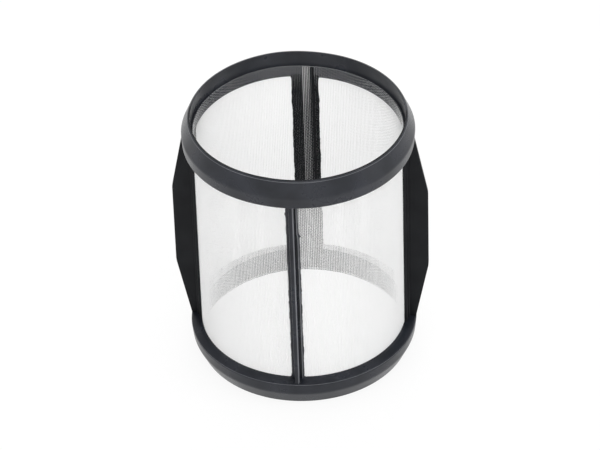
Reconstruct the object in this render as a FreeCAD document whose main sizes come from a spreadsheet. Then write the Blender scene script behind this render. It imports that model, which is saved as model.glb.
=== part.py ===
"""Cylindrical micro filter of a dishwasher, in millimetres, standing on its foot.

Two pieces: a moulded plastic frame and a fine woven screen.  The frame has a flared
collar at the top, a tapered foot ring, four upright ribs, a fin on the front and the
back rib and a flat wing on each side rib.  The screen is one strip rolled into a tube,
bonded to the inner face of the frame, with its two ends lapped at the back rib.

Origin on the foot plane at the centre, +Z up, wings along X, narrow rib towards -Y.
"""

import FreeCAD, Part
import Sketcher
import os

SHEET = "Sizes"

# Driving sizes, millimetres unless the name says degrees or count
SIZES = [
    # the bore that the screen is bonded to, and the wall left outside it
    ("screen_radius", 36.4),
    ("rib_wall", 0.9),
    ("overall_height", 97.2),
    # collar, from the rim down
    ("seat_step", 0.6),
    ("seat_depth", 5.1),
    ("rim_wall", 0.65),
    ("rim_bevel", 0.2),
    ("flare_height", 5.8),
    ("flare_reach", 2.35),
    ("collar_wall_height", 4.2),
    ("collar_draft", 0.3),
    # foot ring, from its ledge down
    ("ledge_height", 9.7),
    ("ledge_rise", 0.7),
    ("ledge_reach", 2.85),
    ("ledge_bevel", 0.3),
    ("knee_height", 5.3),
    ("knee_inset", 0.45),
    ("foot_inset", 2.5),
    ("foot_bevel", 0.3),
    # ribs, measured along the wall
    ("wide_rib_width", 9.5),
    ("front_rib_width", 4.3),
    # fins on the front and the back rib
    ("fin_width", 2.4),
    ("fin_reach", 2.2),
    ("fin_bevel", 0.4),
    # wings and the raised base that each stands on
    ("base_width", 4.8),
    ("base_reach", 0.55),
    ("wing_thickness", 1.6),
    ("wing_root_reach", 3.0),
    ("wing_foot_inset", 0.4),
    ("wing_reach", 7.3),
    ("wing_upper_slope", 22.2),
    ("wing_lower_slope", 22.0),
    ("wing_round", 0.4),
    # depth to which a piece of the moulding runs on into its neighbour
    ("root_depth", 0.5),
    # screen
    ("screen_wall", 0.3),
    ("screen_foot", 1.0),
    ("screen_top_gap", 0.2),
    ("lap_width", 2.5),
    ("lap_offset", 0.3),
    ("lap_wall", 0.25),
    ("slot_width", 0.8),
    ("slot_band", 2.0),
    ("slot_span_degrees", 64.0),
    ("slot_columns", 15),
    ("ridge_width", 0.7),
    ("ridge_height", 0.2),
    ("ridge_end_gap", 0.4),
]


class Size:
    """A length that knows both its number and the expression that binds it to the sheet."""

    def __init__(self, value, text):
        self.value = value
        self.text = text

    def joined(self, other, sign, value):
        return Size(value, "({} {} {})".format(self.text, sign, other.text))

    def __add__(self, other):
        return self.joined(other, "+", self.value + other.value)

    def __sub__(self, other):
        return self.joined(other, "-", self.value - other.value)

    def __mul__(self, number):
        return Size(self.value * number, "({} * {})".format(self.text, number))

    def __truediv__(self, number):
        return Size(self.value / number, "({} / {})".format(self.text, number))

    def __neg__(self):
        return Size(-self.value, "(-1 * {})".format(self.text))


ZERO = Size(0.0, "0")


def make_sheet(doc):
    """Write the driving sizes into a spreadsheet and return them as Size values by name."""
    sheet = doc.addObject("Spreadsheet::Sheet", SHEET)
    for row, (name, value) in enumerate(SIZES, start=1):
        sheet.set("A{}".format(row), name)
        sheet.set("B{}".format(row), str(value))
        sheet.setAlias("B{}".format(row), name)
    doc.recompute()
    return {name: Size(getattr(sheet, name), "{}.{}".format(SHEET, name)) for name, value in SIZES}


def new_body(doc, label):
    body = doc.addObject("PartDesign::Body", label)
    body.Label = label
    return body


def origin_part(body, role):
    return next(part for part in body.Origin.OriginFeatures if part.Role == role)


def new_sketch(body, name, plane, lift=None):
    """A sketch on one of the body's own origin planes, lifted off it along its normal."""
    sketch = body.newObject("Sketcher::SketchObject", name)
    sketch.AttachmentSupport = [(origin_part(body, plane), "")]
    sketch.MapMode = "FlatFace"
    if lift is not None:
        sketch.setExpression("AttachmentOffset.Base.z", lift.text)
    return sketch


def pin_down(sketch, line, direction, size):
    """Hold the start of a line at a signed distance from the sketch's origin."""
    if size is ZERO:
        axis = -2 if direction == "X" else -1
        sketch.addConstraint(Sketcher.Constraint("PointOnObject", line, 1, axis))
        return
    kind = "Distance" + direction
    if size.value < 0:
        size = -size
        constraint = Sketcher.Constraint(kind, line, 1, -1, 1, size.value)
    else:
        constraint = Sketcher.Constraint(kind, -1, 1, line, 1, size.value)
    number = sketch.addConstraint(constraint)
    sketch.renameConstraint(number, "{}{}".format(direction.lower(), line))
    sketch.setExpression("Constraints.{}{}".format(direction.lower(), line), size.text)


def outline(sketch, corners):
    """A closed outline of straight lines through corners given as (across, up) sizes."""
    first = sketch.GeometryCount
    count = len(corners)
    points = [FreeCAD.Vector(across.value, up.value, 0) for across, up in corners]
    for i in range(count):
        sketch.addGeometry(Part.LineSegment(points[i], points[(i + 1) % count]))
    for i in range(count):
        following = first + (i + 1) % count
        sketch.addConstraint(Sketcher.Constraint("Coincident", first + i, 2, following, 1))
    for i, (across, up) in enumerate(corners):
        pin_down(sketch, first + i, "X", across)
        pin_down(sketch, first + i, "Y", up)


def box_outline(sketch, left, right, low, high):
    outline(sketch, [(left, low), (right, low), (right, high), (left, high)])


def revolve(body, name, sketch):
    turned = body.newObject("PartDesign::Revolution", name)
    turned.Profile = sketch
    turned.ReferenceAxis = (sketch, ["V_Axis"])
    turned.Angle = 360
    return turned


def extrude(body, kind, name, sketch, length, reverse=False, both_ways=False):
    solid = body.newObject("PartDesign::" + kind, name)
    solid.Profile = sketch
    solid.SideType = "Symmetric" if both_ways else "One side"
    solid.Reversed = reverse
    solid.setExpression("Length", length.text)
    return solid


def round_edges(doc, body, name, chosen, radius):
    """Round the edges of the body's last feature that the test picks out."""
    doc.recompute()
    base = body.Tip
    names = ["Edge{}".format(i + 1) for i, edge in enumerate(base.Shape.Edges) if chosen(edge)]
    if not names:
        raise RuntimeError("no edge to round for " + name)
    rounded = body.newObject("PartDesign::Fillet", name)
    rounded.Base = (base, names)
    rounded.setExpression("Radius", radius.text)
    return rounded


def derived(s):
    """Radii and levels that both pieces or several features share."""
    d = dict(s)
    d["rib_radius"] = s["screen_radius"] + s["rib_wall"]
    d["bore_radius"] = s["screen_radius"] + s["seat_step"]
    d["rim_radius"] = d["bore_radius"] + s["rim_wall"]
    d["collar_radius"] = d["rim_radius"] + s["flare_reach"]
    d["collar_edge_radius"] = d["collar_radius"] - s["collar_draft"]
    d["seat_level"] = s["overall_height"] - s["seat_depth"]
    d["flare_level"] = s["overall_height"] - s["flare_height"]
    d["window_top"] = d["flare_level"] - s["collar_wall_height"]
    d["window_sill"] = s["ledge_height"] + s["ledge_rise"]
    d["window_height"] = d["window_top"] - d["window_sill"]
    d["ledge_radius"] = d["rib_radius"] + s["ledge_reach"]
    d["knee_radius"] = d["ledge_radius"] - s["knee_inset"]
    d["foot_radius"] = d["knee_radius"] - s["foot_inset"]
    return d


def add_shell(body, d):
    """The whole wall of the frame, turned from one section: foot, tube and collar."""
    sketch = new_sketch(body, "ShellSection", "XZ_Plane")
    outline(
        sketch,
        [
            (d["screen_radius"] + d["foot_bevel"], ZERO),
            (d["foot_radius"], ZERO),
            (d["knee_radius"], d["knee_height"]),
            (d["ledge_radius"], d["ledge_height"] - d["ledge_bevel"]),
            (d["ledge_radius"] - d["ledge_bevel"], d["ledge_height"]),
            (d["rib_radius"], d["window_sill"]),
            (d["rib_radius"], d["window_top"]),
            (d["collar_edge_radius"], d["window_top"]),
            (d["collar_radius"], d["flare_level"]),
            (d["rim_radius"], d["overall_height"] - d["rim_bevel"]),
            (d["rim_radius"] - d["rim_bevel"], d["overall_height"]),
            (d["bore_radius"] + d["rim_bevel"], d["overall_height"]),
            (d["bore_radius"], d["overall_height"] - d["rim_bevel"]),
            (d["bore_radius"], d["seat_level"]),
            (d["screen_radius"], d["seat_level"]),
            (d["screen_radius"], d["foot_bevel"]),
        ],
    )
    revolve(body, "Shell", sketch)


def add_windows(body, d):
    """Four openings in the tube wall, which leave three wide ribs and a narrow one in front."""
    sketch = new_sketch(body, "WindowPlan", "XY_Plane", lift=d["window_sill"])
    outside = d["rib_radius"] + d["root_depth"]
    wide = d["wide_rib_width"] / 2
    narrow = d["front_rib_width"] / 2
    for near, far in ((narrow, outside), (-outside, -narrow)):
        box_outline(sketch, near, far, -outside, -wide)
    for near, far in ((wide, outside), (-outside, -wide)):
        box_outline(sketch, near, far, wide, outside)
    extrude(body, "Pocket", "Windows", sketch, d["window_height"], reverse=True)


def add_fins(body, d):
    """A radial fin on the front and on the back rib, from the ledge up to the collar."""
    sketch = new_sketch(body, "FinPlan", "XY_Plane", lift=d["window_sill"] - d["ledge_rise"] - d["root_depth"])
    side = d["fin_width"] / 2
    flat = side - d["fin_bevel"]
    root = d["rib_radius"] - d["rib_wall"] / 2
    nose = d["rib_radius"] + d["fin_reach"]
    shoulder = nose - d["fin_bevel"]
    outline(
        sketch,
        [(side, root), (side, shoulder), (flat, nose), (-flat, nose), (-side, shoulder), (-side, root)],
    )
    outline(
        sketch,
        [(-side, -root), (-side, -shoulder), (-flat, -nose), (flat, -nose), (side, -shoulder), (side, -root)],
    )
    height = d["window_height"] + d["ledge_rise"] + d["root_depth"] * 2
    extrude(body, "Pad", "Fins", sketch, height)


def add_wing_bases(body, d):
    """The raised strip on each side rib that its wing stands on."""
    sketch = new_sketch(body, "BasePlan", "XY_Plane", lift=d["window_sill"] - d["ledge_rise"] - d["root_depth"])
    side = d["base_width"] / 2
    root = d["rib_radius"] - d["rib_wall"] / 2
    face = d["rib_radius"] + d["base_reach"]
    box_outline(sketch, root, face, -side, side)
    box_outline(sketch, -face, -root, -side, side)
    height = d["window_height"] + d["ledge_rise"] + d["root_depth"] * 2
    extrude(body, "Pad", "WingBases", sketch, height)


def add_wings(doc, body, d):
    """A flat radial wing on each side, with sloping shoulders above and below."""
    sketch = new_sketch(body, "WingOutline", "XZ_Plane")
    root = d["rib_radius"] - d["rib_wall"] / 2
    shoulder = d["rib_radius"] + d["wing_root_reach"]
    foot = d["ledge_radius"] - d["wing_foot_inset"]
    tip = d["rib_radius"] + d["wing_reach"]
    upper = d["window_top"] - d["wing_upper_slope"]
    lower = d["ledge_height"] + d["wing_lower_slope"]
    buried_top = d["window_top"] + d["root_depth"]
    buried_foot = d["ledge_height"] - d["root_depth"]
    hidden_top = d["collar_edge_radius"] - d["root_depth"]
    hidden_foot = d["knee_radius"] - d["root_depth"]
    corners = [
        (root, buried_foot),
        (hidden_foot, buried_foot),
        (foot, d["ledge_height"]),
        (tip, lower),
        (tip, upper),
        (shoulder, d["window_top"]),
        (hidden_top, buried_top),
        (root, buried_top),
    ]
    outline(sketch, corners)
    outline(sketch, [(-across, up) for across, up in corners])
    extrude(body, "Pad", "Wings", sketch, d["wing_thickness"], both_ways=True)
    reach = min(shoulder.value, foot.value) - 0.001

    def outer_edge(edge):
        ends = [vertex.Point for vertex in edge.Vertexes]
        if len(ends) != 2 or not isinstance(edge.Curve, Part.Line):
            return False
        outside = all(abs(point.x) > reach for point in ends)
        return outside and abs(ends[0].z - ends[1].z) > 1

    round_edges(doc, body, "WingRound", outer_edge, d["wing_round"])


def make_frame(doc, d):
    body = new_body(doc, "frame")
    add_shell(body, d)
    add_windows(body, d)
    add_fins(body, d)
    add_wing_bases(body, d)
    add_wings(doc, body, d)
    return body


def upright_block(across, near, far, low, high, degrees):
    """A block that stands across a radius of the tube, turned to its place about Z."""
    block = Part.makeBox(across, far - near, high - low, FreeCAD.Vector(-across / 2, near, low))
    block.rotate(FreeCAD.Vector(0, 0, 0), FreeCAD.Vector(0, 0, 1), degrees)
    return block


def window_angles(span, columns):
    """Evenly spaced angles over the middle of each of the four windows."""
    step = span / (columns - 1)
    across = [(90 - span) / 2 + i * step for i in range(columns)]
    return [window * 90 + angle for window in range(4) for angle in across]


def screen_shape(v):
    """The screen's wall with its lap, its upright threads and two rows of slots a window."""
    centre = FreeCAD.Vector(0, 0, v["screen_foot"])
    inner = v["screen_radius"] - v["screen_wall"]
    middle = v["screen_radius"] - v["screen_wall"] / 2
    top = v["seat_level"] - v["screen_top_gap"]
    height = top - v["screen_foot"]
    sleeve = Part.makeCylinder(v["screen_radius"], height, centre)
    sleeve = sleeve.cut(Part.makeCylinder(inner, height, centre))
    lap = upright_block(v["lap_width"], inner - v["lap_wall"], middle, v["screen_foot"], top, 0)
    lap.translate(FreeCAD.Vector(v["lap_offset"], 0, 0))

    outside = v["screen_radius"] + v["ridge_height"]
    sill, head = v["window_sill"], v["window_top"]
    step = v["slot_span_degrees"] / (v["slot_columns"] - 1)
    threads = [
        upright_block(v["ridge_width"], middle, outside, sill + v["ridge_end_gap"], head - v["ridge_end_gap"], angle)
        for angle in window_angles(v["slot_span_degrees"] - step, v["slot_columns"] - 1)
    ]
    row = (head - sill - v["slot_band"] * 3) / 2
    floors = [sill + v["slot_band"], sill + v["slot_band"] * 2 + row]
    slots = [
        upright_block(v["slot_width"], inner - v["lap_wall"], outside, floor, floor + row, angle)
        for angle in window_angles(v["slot_span_degrees"], v["slot_columns"])
        for floor in floors
    ]
    return sleeve.multiFuse([lap] + threads).cut(slots).removeSplitter()


def make_screen(doc, d):
    """The screen, whose hundred and more slots are cut in one step from the sheet's sizes."""
    screen = doc.addObject("Part::Feature", "mesh_screen")
    screen.Label = "mesh_screen"
    screen.Shape = screen_shape({name: size.value for name, size in d.items()})
    screen.Placement = FreeCAD.Placement()
    return screen


def check_and_write(doc, bodies):
    """Stop if anything failed to build, then write one STEP file for each piece."""
    doc.recompute()
    for item in doc.Objects:
        if "Invalid" in item.State or "Error" in item.State:
            raise RuntimeError("failed to build: " + item.Name)
    for body in bodies:
        shape = body.Shape
        if shape.isNull() or not shape.isValid() or len(shape.Solids) != 1:
            raise RuntimeError("not one valid solid: " + body.Label)
    os.makedirs("parts", exist_ok=True)
    for body in bodies:
        body.Shape.exportStep(os.path.join("parts", body.Label + ".step"))
        print("{}: {} solid, {:.1f} mm3".format(body.Label, len(body.Shape.Solids), body.Shape.Volume))


def main():
    doc = FreeCAD.newDocument("MicroFilter")
    sizes = derived(make_sheet(doc))
    check_and_write(doc, [make_frame(doc, sizes), make_screen(doc, sizes)])


main()
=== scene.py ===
"""Looks of a dishwasher micro filter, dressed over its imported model.

The frame is one dark plastic moulding: collar, foot ring, four upright ribs, a fin on the
front and the back rib and a wing on each side rib.  Inside it sits a tube of white nylon
cloth in plain weave, sunk into the plastic wherever the two meet, with its ends lapped on
the back rib.  Shapes are worked out in millimetres and written to the meshes in metres.
"""

import bpy
import numpy as np
from mathutils import Matrix


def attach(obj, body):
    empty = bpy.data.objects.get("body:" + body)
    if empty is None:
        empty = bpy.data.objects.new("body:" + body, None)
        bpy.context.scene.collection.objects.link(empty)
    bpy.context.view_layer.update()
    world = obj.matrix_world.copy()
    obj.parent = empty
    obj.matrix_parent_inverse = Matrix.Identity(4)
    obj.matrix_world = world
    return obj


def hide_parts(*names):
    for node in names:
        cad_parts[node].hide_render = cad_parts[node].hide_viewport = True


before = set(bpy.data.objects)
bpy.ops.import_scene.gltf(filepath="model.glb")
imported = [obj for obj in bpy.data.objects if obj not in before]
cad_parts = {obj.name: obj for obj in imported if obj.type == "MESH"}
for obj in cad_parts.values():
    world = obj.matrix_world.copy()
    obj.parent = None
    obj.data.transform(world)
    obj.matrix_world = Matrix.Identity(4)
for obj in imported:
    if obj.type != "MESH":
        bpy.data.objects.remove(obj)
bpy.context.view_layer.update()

MM = 0.001
FRONT, RIGHT, BACK, LEFT = np.radians([-90.0, 0.0, 90.0, 180.0])

# Heights of the moulding
TOP = 97.2
SEAT = 92.1
COLLAR_UNDER = 87.2
LEDGE = 9.7
KNEE = 5.3

# Radii of the moulding, and how far its rings are off round
BORE = 37.0
RIB_OUT = 37.3
OFF_ROUND = 0.05

# The cloth: stout upright warps, and thin wefts that pass out and in by LIFT round them
CLOTH = 36.2
WARP = 0.076
WEFT = 0.0635
LIFT = 0.13
WARPS = 372
WEFTS = 272
CROWN = CLOTH - LIFT - WEFT / 2
CLOTH_FOOT = 1.0
CLOTH_TOP = SEAT - 0.2
LAP_LEFT = -0.7
LAP_RIGHT = 2.1
LAP_STEP = 0.36

# The plastic's inner face, out of which only the crowns of the wefts stand
SKIN = CROWN + 0.08


# ------------------------------------------------------------------ surfaces


def skin(points, round_u=False):
    """Quads over rows of points, each row a closed section of the piece.

    Corner (u, v) is joined to (u+1, v), (u+1, v+1) and (u, v+1).  The rows join round, or
    else the first and the last are closed by one face each.  The volume under the faces
    is summed, and where it comes out negative every face is turned over.
    """
    nu, nv = points.shape[:2]
    number = np.arange(nu * nv).reshape(nu, nv)
    a = number if round_u else number[:-1]
    b = np.roll(number, -1, 0) if round_u else number[1:]
    quads = np.stack([a, b, np.roll(b, -1, 1), np.roll(a, -1, 1)], -1).reshape(-1, 4)
    verts = points.reshape(-1, 3)
    ends = [] if round_u else [number[0], number[-1][::-1]]
    p = verts[quads]
    volume = np.einsum("ij,ij->", p[:, 0], np.cross(p[:, 1], p[:, 2]) + np.cross(p[:, 2], p[:, 3]))
    if volume < 0:
        quads = quads[:, ::-1]
        ends = [e[::-1] for e in ends]
    return verts, quads, ends


def piece(name, groups, node, crease=38.0):
    """One mesh from groups of skins and their finishes, smooth up to the crease angle."""
    verts, faces, finishes, start = [], [], [], 0
    for k, (v, quads, ends) in [(k, s) for k, (_, skins) in enumerate(groups) for s in skins]:
        finishes += [k] * (len(quads) + len(ends))
        verts.append(v * MM)
        faces += (quads + start).tolist()
        faces += [(e + start).tolist() for e in ends]
        start += len(v)
    mesh = bpy.data.meshes.new(name)
    mesh.from_pydata(np.concatenate(verts).tolist(), [], faces)
    mesh.shade_smooth()
    mesh.set_sharp_from_angle(angle=np.radians(crease))
    for finish, _ in groups:
        mesh.materials.append(finish)
    mesh.polygons.foreach_set("material_index", finishes)
    made = bpy.data.objects.new(name, mesh)
    bpy.context.scene.collection.objects.link(made)
    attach(made, "root")
    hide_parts(node)
    return made


def softened(corners, cut, steps=4):
    """A closed outline with its corners rounded.

    The side before a corner ends at distance cut from it and the side after it starts at
    the same distance.  Between them runs the parabola that the corner pulls outwards, and
    one more point just before and after keeps the flats flat.
    """
    p = np.asarray(corners, float)
    back, on = np.roll(p, 1, 0) - p, np.roll(p, -1, 0) - p
    back /= np.linalg.norm(back, axis=1, keepdims=True)
    on /= np.linalg.norm(on, axis=1, keepdims=True)
    cut = np.broadcast_to(np.asarray(cut, float), len(p))[:, None]
    k = np.linspace(0.0, 1.0, steps)[None, :, None]
    start, end = p + back * cut, p + on * cut
    arc = (1 - k) ** 2 * start[:, None] + 2 * k * (1 - k) * p[:, None] + k**2 * end[:, None]
    guard = 0.3 * cut
    return np.concatenate(
        [(start + back * guard)[:, None], arc, (end + on * guard)[:, None]], 1
    ).reshape(-1, 2)


def warped(angle, z):
    """How much higher the moulding stands on its left, from nothing at the foot to 0.42 mm."""
    k = np.clip((0.25 - np.cos(angle)) / 0.6, 0.0, 1.0)
    return 0.42 * k * k * (3 - 2 * k) * z / TOP


def turned(outline):
    """A ring: point (r, z) of the outline at angle a stands at (r cos a, r sin a, z).

    The radius wanders by OFF_ROUND times two slow sines of the angle, as a moulding's does.
    """
    a = np.linspace(0.0, 2 * np.pi, 288, endpoint=False)[:, None]
    r = outline[None, :, 0] + OFF_ROUND * (0.6 * np.sin(2 * a + 0.7) + 0.4 * np.sin(3 * a + 2.1))
    z = outline[None, :, 1] + warped(a, outline[None, :, 1])
    return skin(np.stack([r * np.cos(a), r * np.sin(a), z], -1), round_u=True)


def curved(facing, s, r, z):
    """Points of a plate bent round the tube: s millimetres along the wall, r out, z up."""
    a = facing + s / RIB_OUT
    return np.stack(np.broadcast_arrays(r * np.cos(a), r * np.sin(a), z), -1)


def square(facing, t, r, z):
    """Points of a straight plate: t millimetres across, r straight out from the axis, z up."""
    x = r * np.cos(facing) - t * np.sin(facing)
    y = r * np.sin(facing) + t * np.cos(facing)
    return np.stack(np.broadcast_arrays(x, y, z), -1)


def toe(height, low, high, radius):
    """Extra half width near both ends: a quarter-round fillet of that radius at each end."""
    d = np.clip(np.minimum(height - low, high - height), 0.0, radius)
    return radius - np.sqrt(radius**2 - (radius - d) ** 2)


def ragged(height, seed, size):
    """An uneven edge: ten sines from 25 down to 1.2 mm long, each with its own start."""
    rng = np.random.default_rng(seed)
    length = np.geomspace(25.0, 1.2, 10)
    start = rng.uniform(0.0, 2 * np.pi, 10)
    strength = rng.uniform(0.4, 1.0, 10) * length**0.35
    waves = strength * np.sin(2 * np.pi * height[:, None] / length + start)
    return size * waves.sum(1) / np.abs(strength).sum()


def bump(height, at, spread):
    """A bell over the height, 1 at its middle and 0.37 at spread from it."""
    return np.exp(-(((height - at) / spread) ** 2))


# ------------------------------------------------------------------ moulding

heights = np.linspace(LEDGE - 1.2, COLLAR_UNDER + 1.2, 200)

# The same span for bars that are straight between the small fillets at their ends
rows = np.union1d(
    np.linspace(LEDGE - 1.2, COLLAR_UNDER + 1.2, 20),
    np.concatenate([np.arange(9.95, 11.3, 0.1), np.arange(86.05, 87.4, 0.1)]),
)


def collar():
    """The ring at the top: a plain bore with a step for the cloth, and a flared outside."""
    outline = [
        (SKIN, COLLAR_UNDER),
        (SKIN, SEAT - 0.56),
        (SKIN + 0.07, SEAT - 0.48),
        (SKIN + 0.07, SEAT - 0.15),
        (36.4, SEAT - 0.1),
        (36.7, SEAT - 0.6),
        (BORE, SEAT + 0.35),
        (BORE, TOP),
        (37.75, TOP),
        (40.3, 91.4),
        (40.0, COLLAR_UNDER),
    ]
    cuts = [0.2, 0.02, 0.02, 0.04, 0.04, 0.08, 0.1, 0.12, 0.42, 0.5, 0.35]
    return turned(softened(outline, cuts))


def bead_ring(r, z, half_width, slope):
    """A flat bead half sunk in a ring, for a painted line of another finish round its front:
    painted highlights in the pale plastic and the painted dark reflection on the rim's top in the
    dull one.

    Its section is an ellipse of that half width, 0.05 mm proud, turned by slope.  Past the
    sides it sinks, and behind it lies 0.12 mm under the ring's surface.
    """
    a = np.linspace(0.0, 2 * np.pi, 6, endpoint=False)
    wide, proud = half_width * np.cos(a), 0.05 * np.sin(a)
    out = r + wide * np.cos(slope) + proud * np.sin(slope)
    up = z - wide * np.sin(slope) + proud * np.cos(slope)
    verts, quads, ends = turned(np.stack([out, up], -1))
    away = verts[:, :2] / np.hypot(verts[:, 0], verts[:, 1])[:, None]
    sunk = 0.12 * np.clip(away[:, 1] * 3.0, 0.0, 1.0)
    verts[:, :2] -= (np.sin(slope) * sunk)[:, None] * away
    verts[:, 2] -= np.cos(slope) * sunk
    return verts, quads, ends


def foot_ring():
    """The ring below: a sloping ledge, a round edge, a drafted wall and a tapered foot."""
    outline = [
        (36.9, 0.0),
        (36.7, 0.9),
        (SKIN, 1.5),
        (SKIN, 10.45),
        (37.3, 10.4),
        (40.15, LEDGE),
        (39.7, KNEE),
        (37.25, 0.0),
    ]
    cuts = [0.1, 0.15, 0.15, 0.12, 0.3, 0.55, 0.6, 0.15]
    return turned(softened(outline, cuts))


PLAIN_FACE = (np.linspace(0.0, 1.0, 9), np.full(9, RIB_OUT))


def rib(
    facing,
    left,
    right,
    flash_left,
    flash_right,
    inside=SKIN,
    draft=0.06,
    face=PLAIN_FACE,
    round_end=0.9,
):
    """A rib: a section carried up the wall.

    A thin skirt of flash lies against the cloth out to its own uneven edges, and the body
    of the rib stands on it with straight sides and rounded shoulders.  The right side
    leans back by draft.  Across the outer face run the nine points of face, places from
    0 at its left to 1 and their radii, and across the inner face nine even ones, so that
    both stay round the tube.
    """
    fillet = toe(heights, 10.3, COLLAR_UNDER, round_end)
    left, right = left - fillet, right + fillet
    flash_left, flash_right = flash_left - fillet, flash_right + fillet
    foot = np.array([0.0, 0.0, 0.02, 0.08])
    shoulder = np.array([-0.1, 0.0, 0.06, 0.2])
    far_shoulder = np.array([-0.1, 0.0, draft, draft + 0.14])
    across = np.linspace(0.0, 1.0, 9)
    s = np.concatenate(
        [
            flash_left[:, None] + foot,
            left[:, None] + shoulder,
            (left + 0.4)[:, None] * (1 - face[0]) + (right - draft - 0.34)[:, None] * face[0],
            right[:, None] - far_shoulder[::-1],
            flash_right[:, None] - foot[::-1],
            (flash_right - 0.15)[:, None] * (1 - across) + (flash_left + 0.15)[:, None] * across,
        ],
        1,
    )
    up = [36.12, 36.22, 36.38, 36.47, 36.54, 36.68, 37.12, 37.27]
    outside = np.concatenate([up, face[1], up[::-1]])
    outside = np.broadcast_to(outside, (len(heights), len(outside)))
    r = np.concatenate([outside, np.broadcast_to(inside, (9, len(heights))).T], 1)
    return skin(curved(facing, s, r, heights[:, None]))


def side_rib(facing, seed_left, seed_right):
    """A rib for a wing, the same on both sides but for its flash."""
    half = 4.55 + 0 * heights
    flash_left = 0.2 - ragged(heights, seed_left, 0.2)
    flash_right = 0.2 + ragged(heights, seed_right, 0.2)
    return rib(facing, -half, half, -half - flash_left, half + flash_right)


def fin(facing, middle, root, nose_left, nose_right):
    """A fin: a rounded bar with drafted sides that stands on a rib from collar to foot.

    Its half width at the foot of the bar is root, and its nose runs from nose_left to
    nose_right, all measured from the middle, which is given over the heights.
    """
    reach = 39.5
    fillet = toe(rows, 10.1, COLLAR_UNDER, 0.7)
    middle = np.interp(rows, heights, middle)
    outline = softened(
        [
            (-root - 0.05, 36.9),
            (-root, 37.45),
            (nose_left, reach),
            (nose_right, reach),
            (root, 37.45),
            (root + 0.05, 36.9),
        ],
        [0.05, 0.08, 0.35, 0.35, 0.08, 0.05],
    )
    t = outline[:, 0] * (1 + 0.5 * fillet[:, None]) + middle[:, None]
    return skin(square(facing, t, outline[:, 1], rows[:, None]))


def painted_highlight_edge(bend, facing, middle, r, half_width, slope):
    """A painted highlight along an edge: a paler flat bead half sunk along a corner and turned by
    slope.

    Its section is an ellipse of that half width, 0.07 mm proud, and bend says whether
    the edge follows the tube or stands straight out.
    """
    a = np.linspace(0.0, 2 * np.pi, 10, endpoint=False)
    wide, proud = half_width * np.cos(a), 0.07 * np.sin(a)
    t = middle[:, None] + wide * np.cos(slope) + proud * np.sin(slope)
    out = r - wide * np.sin(slope) + proud * np.cos(slope)
    return skin(bend(facing, t, out, heights[:, None]))


def base(facing):
    """The raised band of a side rib that its wing stands on."""
    outline = softened(
        [(-2.5, 37.0), (-2.4, 37.85), (2.4, 37.85), (2.5, 37.0)], [0.05, 0.25, 0.25, 0.05]
    )
    fillet = toe(rows, 10.2, COLLAR_UNDER, 0.5)
    t = outline[:, 0] + np.sign(outline[:, 0]) * fillet[:, None]
    return skin(square(facing, t, outline[:, 1], rows[:, None]))


def wing(facing, low, high, top):
    """A wing: a plate whose reach follows a rounded trapezium over the height.

    It is widest between the heights low and high, and meets the collar at the reach top.
    """
    edge = softened(
        [(30.0, 4.0), (39.95, LEDGE - 0.2), (44.6, low), (44.6, high), (top, 89.6), (30.0, 92.0)],
        [0.1, 0.4, 1.2, 1.2, 0.3, 0.1],
        6,
    )[7:-7]
    tall = np.union1d(np.linspace(LEDGE - 0.5, 88.9, 40), edge[2:-2, 1])
    tall = tall[(tall >= LEDGE - 0.5) & (tall <= 88.9)]
    reach = np.interp(tall, edge[:, 1], edge[:, 0])
    half, root = 0.8, 37.2
    part = softened(
        [(-half, 0.0), (-half, 1.0), (half, 1.0), (half, 0.0)], [0.02, 0.25, 0.25, 0.02]
    )
    r = root + (reach[:, None] - root) * np.minimum(part[:, 1], 0.5) * 2
    r = np.where(part[:, 1] > 0.5, reach[:, None] - (1.0 - part[:, 1]), r)
    spread = 0.35 * np.clip(1.0 - (r - 37.8) / 0.5, 0.0, 1.0) ** 2
    t = part[:, 0] + np.sign(part[:, 0]) * spread
    return skin(square(facing, t, r, tall[:, None]))


def lap_bed():
    """Plastic that has come up through the lap of the cloth, a low band on the back rib.

    It covers the step that the cloth takes inwards, and in the lap it leaves the threads
    standing out by a depth that grows towards its cut edge and towards the collar.
    """
    tall = np.linspace(2.0, SEAT - 0.3, 80)
    inner = CROWN - LAP_STEP
    outline = np.array(
        [
            (-LAP_RIGHT - 1.4, 36.6, 0.0),
            (-LAP_RIGHT - 1.2, CROWN - 0.01, 0.0),
            (-LAP_RIGHT - 0.7, CROWN - 0.5 * LAP_STEP - 0.03, 0.0),
            (-LAP_RIGHT - 0.2, inner - 0.02, 0.0),
            (-LAP_RIGHT + 0.2, inner, 0.85),
            (-LAP_RIGHT + 0.8, inner, 0.95),
            (-LAP_LEFT - 0.8, inner, 1.0),
            (-LAP_LEFT, inner, 1.1),
            (-LAP_LEFT + 0.05, 36.6, 0.0),
        ]
    )
    depth = 0.1 + 0.03 * np.clip((tall - 74.0) / 14.0, 0.0, 1.0)
    s = np.broadcast_to(outline[:, 0], (len(tall), len(outline)))
    r = outline[:, 1] + outline[:, 2] * depth[:, None]
    return skin(curved(BACK, s, r, tall[:, None]))


# ------------------------------------------------------------------ cloth


def thread_section(radius, sides):
    """Corners of a thread's cross-section, as steps across and outwards from its middle."""
    a = np.linspace(0.0, 2 * np.pi, sides, endpoint=False) + np.pi / 2
    return radius * np.cos(a), radius * np.sin(a)


def sway(seed, along, size):
    """A thread's slow wander from its straight line: three sines with their own starts."""
    start = np.random.default_rng(seed).uniform(0.0, 2 * np.pi, 3)
    return size * sum(np.sin(along * k + p) for k, p in zip((1.0, 2.3, 5.1), start)) / 3


def lap_drop(angle):
    """How far the cloth has stepped inwards where its second end lies over the first."""
    turn = (angle - BACK - 2 * np.pi) * CLOTH
    k = np.clip((turn + LAP_RIGHT + 1.1) / 0.9, 0.0, 1.0)
    return LAP_STEP * k * k * (3 - 2 * k)


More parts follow.
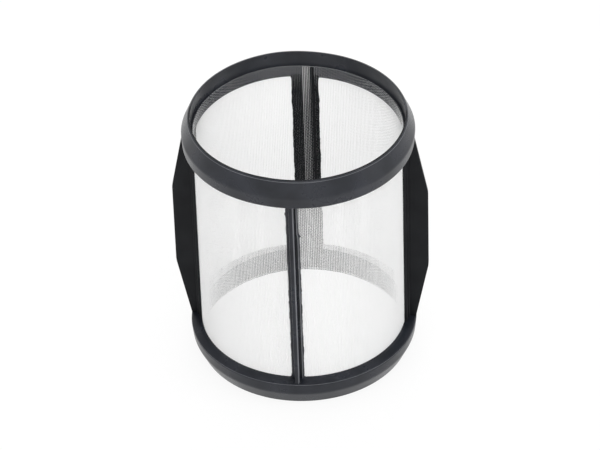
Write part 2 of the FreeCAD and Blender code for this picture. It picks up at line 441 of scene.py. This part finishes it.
warp_pitch = 2 * np.pi / WARPS
cloth_start = BACK - LAP_RIGHT / CLOTH
cloth_end = BACK + 2 * np.pi - LAP_LEFT / CLOTH
crossings = np.arange(np.ceil(cloth_start / warp_pitch), np.floor(cloth_end / warp_pitch) + 1)


def wefts(first, last):
    """Threads round the tube, each one a strand from the lap's right edge round to its left.

    At the crossing with warp i the strand stands out or in by LIFT, turn about, and the
    next strand the other way; its section is carried along that path.
    """
    angle = np.concatenate([[cloth_start], crossings * warp_pitch, [cloth_end]])
    turn = np.concatenate([[crossings[0]], crossings, [crossings[-1]]])
    across, out = thread_section(WEFT, 3)
    rise = (CLOTH_TOP - CLOTH_FOOT) / WEFTS
    skins = []
    for j in range(first, last):
        z = CLOTH_FOOT + (j + 0.5) * rise
        z = z + warped(angle, z) + sway(j, 3.0 * angle, 0.03)
        r = CLOTH - lap_drop(angle) + LIFT * np.where((turn + j) % 2 == 0, 1.0, -1.0)
        rr = r[:, None] + out
        points = np.stack(
            [rr * np.cos(angle)[:, None], rr * np.sin(angle)[:, None], z[:, None] + across], -1
        )
        skins.append(skin(points))
    return skins


def warps():
    """Threads up the tube, nearly straight, one at each crossing of the wefts."""
    z = np.linspace(CLOTH_FOOT, CLOTH_TOP - 0.4, 25)
    across, out = thread_section(WARP, 6)
    skins = []
    for i in crossings:
        angle = i * warp_pitch
        a = angle + (sway(int(i) + 1000, 0.15 * z, 0.045)[:, None] + across) / CLOTH
        rr = CLOTH - lap_drop(angle) + out
        high = z + warped(angle, z)
        points = np.stack([rr * np.cos(a), rr * np.sin(a), high[:, None] + 0 * a], -1)
        skins.append(skin(points))
    return skins


# ------------------------------------------------------------------ finishes


def nodes_of(name):
    """A new material with only a Principled shader and its output."""
    finish = bpy.data.materials.new(name)
    finish.use_nodes = True
    tree = finish.node_tree
    tree.nodes.clear()
    shader = tree.nodes.new("ShaderNodeBsdfPrincipled")
    output = tree.nodes.new("ShaderNodeOutputMaterial")
    tree.links.new(shader.outputs["BSDF"], output.inputs["Surface"])
    return finish, tree, shader


def noise(tree, scale, detail, stretch=(1.0, 1.0, 1.0)):
    """Noise on the object's own coordinates, per metre, drawn out along an axis by stretch."""
    place = tree.nodes.new("ShaderNodeTexCoord")
    turn = tree.nodes.new("ShaderNodeMapping")
    turn.inputs["Scale"].default_value = stretch
    made = tree.nodes.new("ShaderNodeTexNoise")
    made.inputs["Scale"].default_value = scale
    made.inputs["Detail"].default_value = detail
    tree.links.new(place.outputs["Object"], turn.inputs["Vector"])
    tree.links.new(turn.outputs["Vector"], made.inputs["Vector"])
    return made.outputs["Fac"]


def ramp(tree, source, low, high, from_low=0.3, from_high=0.7):
    """Source carried from its own span to the span low to high."""
    made = tree.nodes.new("ShaderNodeMapRange")
    made.inputs["From Min"].default_value = from_low
    made.inputs["From Max"].default_value = from_high
    made.inputs["To Min"].default_value = low
    made.inputs["To Max"].default_value = high
    tree.links.new(source, made.inputs["Value"])
    return made.outputs["Result"]


def moulded_plastic(name, dark, light, gloss, smooth):
    """Dark blue-grey plastic, a little cloudy, with a fine spark texture."""
    finish, tree, shader = nodes_of(name)
    cloud = noise(tree, 110.0, 7.0)
    grain = noise(tree, 2600.0, 2.0)
    mix = tree.nodes.new("ShaderNodeMix")
    mix.data_type = "RGBA"
    mix.inputs["A"].default_value = (*dark, 1.0)
    mix.inputs["B"].default_value = (*light, 1.0)
    tree.links.new(ramp(tree, cloud, 0.0, 1.0), mix.inputs["Factor"])
    tree.links.new(mix.outputs["Result"], shader.inputs["Base Color"])
    tree.links.new(ramp(tree, cloud, smooth + 0.06, smooth - 0.04), shader.inputs["Roughness"])
    shader.inputs["Specular IOR Level"].default_value = gloss
    relief = tree.nodes.new("ShaderNodeBump")
    relief.inputs["Strength"].default_value = 0.25
    relief.inputs["Distance"].default_value = 0.00004
    tree.links.new(grain, relief.inputs["Height"])
    tree.links.new(relief.outputs["Normal"], shader.inputs["Normal"])
    return finish


def nylon_thread():
    """White nylon, a little translucent, with a slight sheen."""
    finish, tree, shader = nodes_of("nylon_thread")
    cloud = noise(tree, 60.0, 2.0)
    mix = tree.nodes.new("ShaderNodeMix")
    mix.data_type = "RGBA"
    mix.inputs["A"].default_value = (0.94, 0.945, 0.94, 1.0)
    mix.inputs["B"].default_value = (0.97, 0.97, 0.965, 1.0)
    tree.links.new(ramp(tree, cloud, 0.0, 1.0), mix.inputs["Factor"])
    tree.links.new(mix.outputs["Result"], shader.inputs["Base Color"])
    shader.inputs["Roughness"].default_value = 0.5
    shader.inputs["Subsurface Weight"].default_value = 1.0
    shader.inputs["Subsurface Radius"].default_value = (1.0, 1.0, 1.0)
    shader.inputs["Subsurface Scale"].default_value = 0.0002
    return finish


# ------------------------------------------------------------------ the object

# The collar's copy of the plastic is lighter than the rings': painted light from above on the
# collar
collar_plastic_painted_light = moulded_plastic(
    "moulded_plastic_collar_painted_light", (0.014, 0.0155, 0.0195), (0.027, 0.0295, 0.0375), 0.32, 0.28
)
bright_plastic = moulded_plastic(
    "moulded_plastic_rings", (0.007, 0.0085, 0.0125), (0.02, 0.0225, 0.0305), 0.29, 0.28
)
dull_plastic = moulded_plastic(
    "moulded_plastic_ribs", (0.0045, 0.005, 0.0065), (0.007, 0.0078, 0.0095), 0.16, 0.5
)
# A pale copy of the plastic that paints highlight lines along edges
painted_highlight_plastic = moulded_plastic(
    "moulded_plastic_painted_highlight", (0.1, 0.104, 0.115), (0.15, 0.154, 0.168), 0.4, 0.36
)
nylon = nylon_thread()

# The front rib and its fin lean and narrow a little over the height, and the right edge
# steps back at a notch
lean = (heights - 48.0) / 77.0
front_left = -2.07 - 0.35 * lean
front_right = 2.18 - 0.2 * lean
notch = 1.0 / (1.0 + np.exp(-(heights - 73.6) / 0.35))
fin_middle = -0.13 - 0.25 * lean
front = [
    foot_ring(),
    rib(
        FRONT,
        front_left,
        front_right - 0.3 * notch,
        front_left - 0.2 + ragged(heights, 3, 0.3) - 0.35 * bump(heights, 82.2, 0.7),
        front_right + 0.2 - 0.5 * notch + ragged(heights, 8, 0.3) + 0.2 * bump(heights, 72.9, 0.5),
        draft=0.3,
        face=(
            np.array([0.0, 0.25, 0.5, 0.7, 0.82, 0.85, 0.95, 0.985, 1.0]),
            RIB_OUT - np.array([0.0, 0.0, 0.0, 0.0, 0.0, 0.75, 0.75, 0.05, 0.0]),
        ),
    ),
    fin(FRONT, fin_middle, 1.05, -0.85, 0.65),
]
# Painted highlights: pale lines on the fin's right nose corner, the rib's right flange edge, the
# ledge's round edge and the flare just under the rim
painted_highlights = [
    painted_highlight_edge(square, FRONT, fin_middle + 0.6, 39.36, 0.29, 0.8),
    painted_highlight_edge(curved, FRONT, front_right - 0.3 * notch - 0.42, 37.2, 0.18, 0.6),
    bead_ring(39.97, 9.55, 0.09, 0.8),
    bead_ring(37.98, TOP - 0.55, 0.1, 1.16),
]
others = [
    rib(
        BACK,
        -4.9 + 0 * heights,
        4.6 + 0 * heights,
        -5.1 + ragged(heights, 21, 0.35),
        4.82 + ragged(heights, 34, 0.3),
        CROWN + 0.012 + 0.045 * np.clip((heights - 82.0) / 5.0, 0.0, 1.0),
        round_end=0.35,
    ),
    side_rib(RIGHT, 5, 6),
    side_rib(LEFT, 7, 9),
    fin(BACK, 0.0 * heights, 1.3, -1.12, 1.12),
    base(RIGHT),
    base(LEFT),
    wing(RIGHT, 33.0, 64.9, 39.75),
    wing(LEFT, 33.6, 66.3, 40.0),
    lap_bed(),
    # A painted dark reflection: a bead of the darker, dull plastic over the rim's top face
    bead_ring(37.27, TOP - 0.01, 0.25, 0.0),
]
piece(
    "frame_moulding",
    [
        (collar_plastic_painted_light, [collar()]),
        (bright_plastic, front),
        (dull_plastic, others),
        (painted_highlight_plastic, painted_highlights),
    ],
    "frame",
)

quarter = WEFTS // 4
for k, part in enumerate(("foot", "low", "high", "top")):
    strands = wefts(k * quarter, (k + 1) * quarter)
    piece("cloth_wefts_" + part, [(nylon, strands)], "mesh_screen", 180.0)
piece("cloth_warps", [(nylon, warps())], "mesh_screen", 180.0)

# ------------------------------------------------------------------ floor, light, camera


def seen(tree):
    """1 where the camera, a reflection or a see-through surface looks, and 0 for light."""
    ray = tree.nodes.new("ShaderNodeLightPath")
    found = ray.outputs["Is Camera Ray"]
    for other in ("Is Glossy Ray", "Is Transmission Ray"):
        most = tree.nodes.new("ShaderNodeMath")
        most.operation = "MAXIMUM"
        tree.links.new(found, most.inputs[0])
        tree.links.new(ray.outputs[other], most.inputs[1])
        found = most.outputs[0]
    return found


def white_floor():
    """A wide white disc that the camera sees nearly white and that keeps a faint shadow."""
    finish = bpy.data.materials.new("floor_white")
    finish.use_nodes = True
    tree = finish.node_tree
    tree.nodes.clear()
    paper = tree.nodes.new("ShaderNodeBsdfDiffuse")
    paper.inputs["Color"].default_value = (0.93, 0.93, 0.93, 1.0)
    glow = tree.nodes.new("ShaderNodeEmission")
    glow.inputs["Strength"].default_value = 1.0
    share = tree.nodes.new("ShaderNodeMath")
    share.operation = "MULTIPLY"
    share.inputs[1].default_value = 0.88
    tree.links.new(seen(tree), share.inputs[0])
    blend = tree.nodes.new("ShaderNodeMixShader")
    tree.links.new(share.outputs[0], blend.inputs["Fac"])
    tree.links.new(paper.outputs[0], blend.inputs[1])
    tree.links.new(glow.outputs[0], blend.inputs[2])
    output = tree.nodes.new("ShaderNodeOutputMaterial")
    tree.links.new(blend.outputs[0], output.inputs["Surface"])
    a = np.linspace(0.0, 2 * np.pi, 96, endpoint=False)
    rim = np.stack([1.5 * np.cos(a), 1.5 * np.sin(a), 0 * a], -1)
    mesh = bpy.data.meshes.new("floor")
    mesh.from_pydata(rim.tolist(), [], [list(range(96))])
    mesh.materials.append(finish)
    made = bpy.data.objects.new("floor", mesh)
    bpy.context.scene.collection.objects.link(made)


def white_world(level, sides):
    """Even light of that level, less by sides squared over to the left and right.

    The strength is level minus sides times the square of the direction's x.  The camera
    and reflections see plain white instead.
    """
    world = bpy.data.worlds.new("studio")
    bpy.context.scene.world = world
    world.use_nodes = True
    tree = world.node_tree
    tree.nodes.clear()
    way = tree.nodes.new("ShaderNodeTexCoord")
    parts = tree.nodes.new("ShaderNodeSeparateXYZ")
    tree.links.new(way.outputs["Generated"], parts.inputs["Vector"])
    square_x = tree.nodes.new("ShaderNodeMath")
    square_x.operation = "MULTIPLY"
    tree.links.new(parts.outputs["X"], square_x.inputs[0])
    tree.links.new(parts.outputs["X"], square_x.inputs[1])
    strength = tree.nodes.new("ShaderNodeMath")
    strength.operation = "MULTIPLY_ADD"
    strength.inputs[1].default_value = -sides
    strength.inputs[2].default_value = level
    tree.links.new(square_x.outputs[0], strength.inputs[0])
    soft = tree.nodes.new("ShaderNodeBackground")
    tree.links.new(strength.outputs[0], soft.inputs["Strength"])
    white = tree.nodes.new("ShaderNodeBackground")
    white.inputs["Strength"].default_value = 1.0
    blend = tree.nodes.new("ShaderNodeMixShader")
    tree.links.new(seen(tree), blend.inputs["Fac"])
    tree.links.new(soft.outputs[0], blend.inputs[1])
    tree.links.new(white.outputs[0], blend.inputs[2])
    output = tree.nodes.new("ShaderNodeOutputWorld")
    tree.links.new(blend.outputs[0], output.inputs["Surface"])


def softbox(name, place, aim, size, watts):
    """A square lamp at place that faces aim."""
    lamp = bpy.data.lights.new(name, "AREA")
    lamp.shape = "SQUARE"
    lamp.size = size
    lamp.energy = watts
    made = bpy.data.objects.new(name, lamp)
    place, aim = np.array(place), np.array(aim)
    away = (place - aim) / np.linalg.norm(place - aim)
    side = np.cross([0.0, 1.0, 0.001], away)
    side /= np.linalg.norm(side)
    up = np.cross(away, side)
    made.matrix_world = Matrix(
        [(side[k], up[k], away[k], place[k]) for k in range(3)] + [(0, 0, 0, 1)]
    )
    bpy.context.scene.collection.objects.link(made)


def photo_camera():
    """The camera fitted to the photograph: tilt, roll and turn, then the way to the object."""
    tilt, roll, turn = np.radians([37.93, 1.89, -4.59])
    look = np.array(
        [[1, 0, 0], [0, np.sin(tilt), np.cos(tilt)], [0, np.cos(tilt), -np.sin(tilt)]]
    )
    rolled = np.array(
        [[np.cos(roll), -np.sin(roll), 0], [np.sin(roll), np.cos(roll), 0], [0, 0, 1]]
    )
    turned_to = np.array(
        [[np.cos(turn), -np.sin(turn), 0], [np.sin(turn), np.cos(turn), 0], [0, 0, 1]]
    )
    axes = rolled @ look @ turned_to
    place = -axes.T @ np.array([1.69, -38.87, 1402.6]) * MM
    data = bpy.data.cameras.new("photo_camera")
    data.sensor_width = 36.0
    data.lens = 235.03
    data.clip_start, data.clip_end = 0.05, 20.0
    made = bpy.data.objects.new("photo_camera", data)
    made.matrix_world = Matrix(
        [(axes[0][k], axes[1][k], -axes[2][k], place[k]) for k in range(3)] + [(0, 0, 0, 1)]
    )
    bpy.context.scene.collection.objects.link(made)
    bpy.context.scene.camera = made


white_floor()
white_world(1.78, 1.74)
softbox("key_box", (0.85, -0.2, 1.05), (0.0, 0.0, 0.05), 0.35, 2.2)
softbox("side_box", (1.2, -0.3, 0.15), (0.0, 0.0, 0.08), 0.5, 0.5)
softbox("front_box", (0.25, -1.3, 0.95), (0.0, 0.0, 0.05), 0.8, 2.6)
softbox("back_box", (-0.1, 1.1, 0.9), (0.0, 0.0, 0.05), 0.8, 2.0)
photo_camera()
bpy.context.scene.view_settings.view_transform = "Standard"
